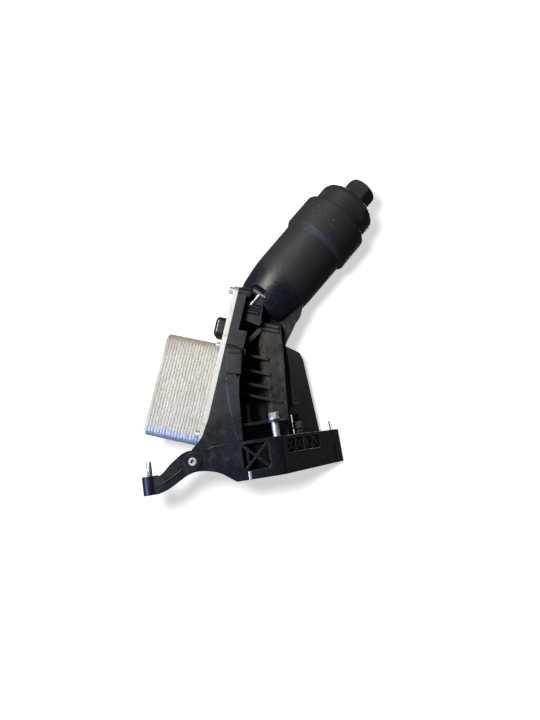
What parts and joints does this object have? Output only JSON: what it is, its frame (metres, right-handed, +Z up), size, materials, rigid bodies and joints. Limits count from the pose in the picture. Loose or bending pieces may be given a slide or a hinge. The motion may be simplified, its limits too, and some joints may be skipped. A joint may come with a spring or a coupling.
{
  "type": "oil filter housing",
  "caption": "Moulded oil filter housing with a slanting bowl, screw cap and cartridge, plate oil cooler, coolant elbow, oil ducts and a mounting frame with an arm.",
  "frame": {"origin": "point on the base's mounting face midway between the two oil ports", "axes": "+Z up from the mounting face, +X to the right of the pictured side, +Y to its back"},
  "size_m": [0.3359, 0.1205, 0.3637],
  "materials": {
    "housing_plastic": "satin black glass-filled moulding",
    "cap_plastic": "satin black moulding, a little smoother",
    "elbow_plastic": "glossy black moulding",
    "valve_plastic": "natural plastic",
    "core_plastic": "dark grey plastic",
    "cooler_aluminium": "brazed, dull and lightly stained",
    "plate_aluminium": "milled, bright edge",
    "steel": "zinc plated",
    "spring_steel": "drawn wire",
    "seal_rubber": "black",
    "filter_paper": "pleated filter paper",
    "disc_felt": "pressed felt end disc"
  },
  "bodies": {
    "housing": {"housing_body": "housing_plastic", "standpipe": "core_plastic", "bypass_seat": "valve_plastic", "bypass_spring": "spring_steel", "check_spring": "spring_steel", "check_cage": "core_plastic", "cooler_base_plate": "plate_aluminium", "cooler_foot_plate": "cooler_aluminium", "cooler_core": "cooler_aluminium", "cooler_end_plate": "cooler_aluminium", "cooler_screws": "steel", "cooler_port_seals": "seal_rubber", "coolant_elbow": "elbow_plastic", "elbow_seal": "seal_rubber", "elbow_clip": "spring_steel", "mount_bolt_front": "steel", "bolt_sleeve_front": "steel", "mount_bolt_right": "steel", "bolt_sleeve_right": "steel", "arm_stud": "steel", "arm_sleeve": "steel", "locating_sleeve": "steel", "rear_pin": "steel", "disc_screw": "steel", "dowel_pin": "steel", "feed_port_seal": "seal_rubber", "return_port_seal": "seal_rubber", "coolant_port_seal": "seal_rubber"},
    "filter_insert": {"filter_pleats": "filter_paper", "filter_core": "core_plastic", "filter_lower_disc": "disc_felt", "filter_upper_disc": "core_plastic", "filter_grommets": "seal_rubber"},
    "screw_cap": {"cap": "cap_plastic", "cap_seal": "seal_rubber"},
    "bypass": {"bypass_valve": "valve_plastic"},
    "check": {"check_valve": "valve_plastic"}
  },
  "joints": [
    {"name": "cap_turn", "type": "hinge", "parent": "filter_insert", "child": "screw_cap", "pos_m": [-0.0095, 0, 0.2054], "axis": [0.7501, 0, 0.6613], "range_deg": [0, 2520]},
    {"name": "filter_lift", "type": "slide", "parent": "housing", "child": "filter_insert", "axis": [0.7501, 0, 0.6613], "range_m": [0, 0.028]},
    {"name": "bypass_open", "type": "slide", "parent": "housing", "child": "bypass", "axis": [-0.7501, 0, -0.6613], "range_m": [0, 0.004], "stiffness_N_per_m": 1800, "springref_m": -0.004, "deforming": ["bypass_spring"]},
    {"name": "check_open", "type": "slide", "parent": "housing", "child": "check", "axis": [0.7501, 0, 0.6613], "range_m": [0, 0.0035], "stiffness_N_per_m": 120, "springref_m": -0.003, "deforming": ["check_spring"]}
  ],
  "couplings": [
    {"joint": "filter_lift", "follows": "cap_turn", "m_per_rad": 0.00063662}
  ]
}
